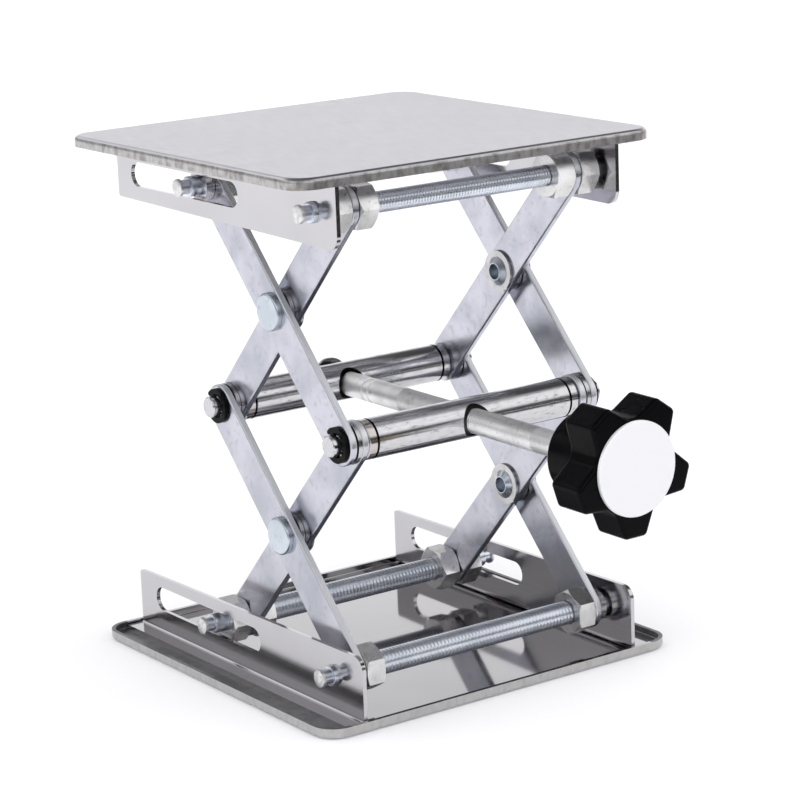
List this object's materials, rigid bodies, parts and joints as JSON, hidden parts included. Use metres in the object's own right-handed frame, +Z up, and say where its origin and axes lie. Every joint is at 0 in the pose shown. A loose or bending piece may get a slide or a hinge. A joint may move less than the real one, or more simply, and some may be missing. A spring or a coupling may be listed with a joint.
{
  "type": "lab jack",
  "caption": "Double-stage scissor lab jack: square pressed plates, slotted side brackets, riveted flat arms, cross bars and a lifting screw turned by a star knob.",
  "frame": {"origin": "centre of the base tray's underside", "axes": "+Z up, from the base plate to the top plate; +Y to the rear, so the knob is towards -Y; +X to the right along the axles"},
  "size_m": [0.1, 0.1508, 0.1255],
  "materials": {
    "tray": "satin stainless sheet, mirror-bright inside, with a ground edge",
    "bracket": "satin stainless sheet",
    "arm": "bright zinc plate",
    "rod": "zinc-plated threaded rod",
    "nut": "bright zinc plate",
    "washer": "bright zinc plate",
    "rivet": "pale zinc plate, satin",
    "bar": "turned and polished",
    "clip": "blackened spring steel",
    "screw": "zinc-plated turned steel",
    "knob": "glossy moulded plastic",
    "cap": "plain white disc",
    "insert": "turned brass"
  },
  "bodies": {
    "base": {"base_tray": "tray", "base_bracket_left": "bracket", "base_bracket_right": "bracket"},
    "lower_outer_arms": {"lower_outer_arm_left": "arm", "lower_outer_arm_right": "arm", "lower_front_axle": "rod", "lower_front_nuts": "nut", "lower_front_washers": "washer", "lower_crossing_rivets": "rivet", "lower_crossing_spacers": "washer", "lower_rivet_washers": "washer"},
    "lower_inner_arms": {"lower_inner_arm_left": "arm", "lower_inner_arm_right": "arm", "lower_rear_axle": "rod", "lower_rear_nuts": "nut"},
    "rear_bar": {"rear_bar": "bar", "rear_bar_clips": "clip", "rear_bar_washers": "washer"},
    "upper_inner_arms": {"upper_inner_arm_left": "arm", "upper_inner_arm_right": "arm", "upper_front_axle": "rod", "upper_front_nuts": "nut"},
    "upper_outer_arms": {"upper_outer_arm_left": "arm", "upper_outer_arm_right": "arm", "upper_rear_axle": "rod", "upper_rear_nuts": "nut", "upper_rear_washers": "washer", "upper_crossing_rivets": "rivet", "upper_crossing_spacers": "washer", "upper_rivet_washers": "washer"},
    "top": {"top_tray": "tray", "top_bracket_left": "bracket", "top_bracket_right": "bracket"},
    "front_bar": {"front_bar": "bar", "front_bar_clips": "clip", "front_bar_washers": "washer"},
    "screw": {"lead_screw": "screw", "screw_thrust_washer": "washer", "screw_clip": "clip", "knob": "knob", "knob_cap": "cap", "knob_insert": "insert"}
  },
  "joints": [
    {"name": "fold", "type": "hinge", "parent": "base", "child": "lower_outer_arms", "pos_m": [0, -0.0368, 0.0102], "axis": [1, 0, 0], "range_deg": [-36.4, 16.3]},
    {"name": "lower_crossing", "type": "hinge", "parent": "lower_outer_arms", "child": "lower_inner_arms", "pos_m": [0, -0.01167, 0.03667], "axis": [1, 0, 0], "range_deg": [-32.6, 72.8]},
    {"name": "rear_bar_turn", "type": "hinge", "parent": "lower_outer_arms", "child": "rear_bar", "pos_m": [0, 0.01345, 0.06315], "axis": [1, 0, 0], "range_deg": [-16.3, 36.4]},
    {"name": "rear_bar_upper_arm", "type": "hinge", "parent": "rear_bar", "child": "upper_inner_arms", "pos_m": [0, 0.01345, 0.06315], "axis": [1, 0, 0], "range_deg": [-16.3, 36.4]},
    {"name": "upper_crossing", "type": "hinge", "parent": "upper_inner_arms", "child": "upper_outer_arms", "pos_m": [0, -0.01167, 0.08962], "axis": [1, 0, 0], "range_deg": [-72.8, 32.6]},
    {"name": "top_front_pivot", "type": "hinge", "parent": "upper_inner_arms", "child": "top", "pos_m": [0, -0.0368, 0.1161], "axis": [1, 0, 0], "range_deg": [-36.4, 16.3]},
    {"name": "front_bar_turn", "type": "hinge", "parent": "lower_inner_arms", "child": "front_bar", "pos_m": [0, -0.0368, 0.06315], "axis": [1, 0, 0], "range_deg": [-36.4, 16.3]},
    {"name": "knob_turn", "type": "hinge", "parent": "rear_bar", "child": "screw", "pos_m": [0, 0.01345, 0.06315], "axis": [0, 1, 0], "continuous": true}
  ],
  "couplings": [
    {"joint": "lower_crossing", "follows": "fold", "ratio": -2},
    {"joint": "rear_bar_turn", "follows": "fold", "ratio": -1},
    {"joint": "rear_bar_upper_arm", "follows": "fold", "ratio": -1},
    {"joint": "upper_crossing", "follows": "fold", "ratio": 2},
    {"joint": "top_front_pivot", "follows": "fold", "ratio": 1},
    {"joint": "front_bar_turn", "follows": "fold", "ratio": 1}
  ]
}
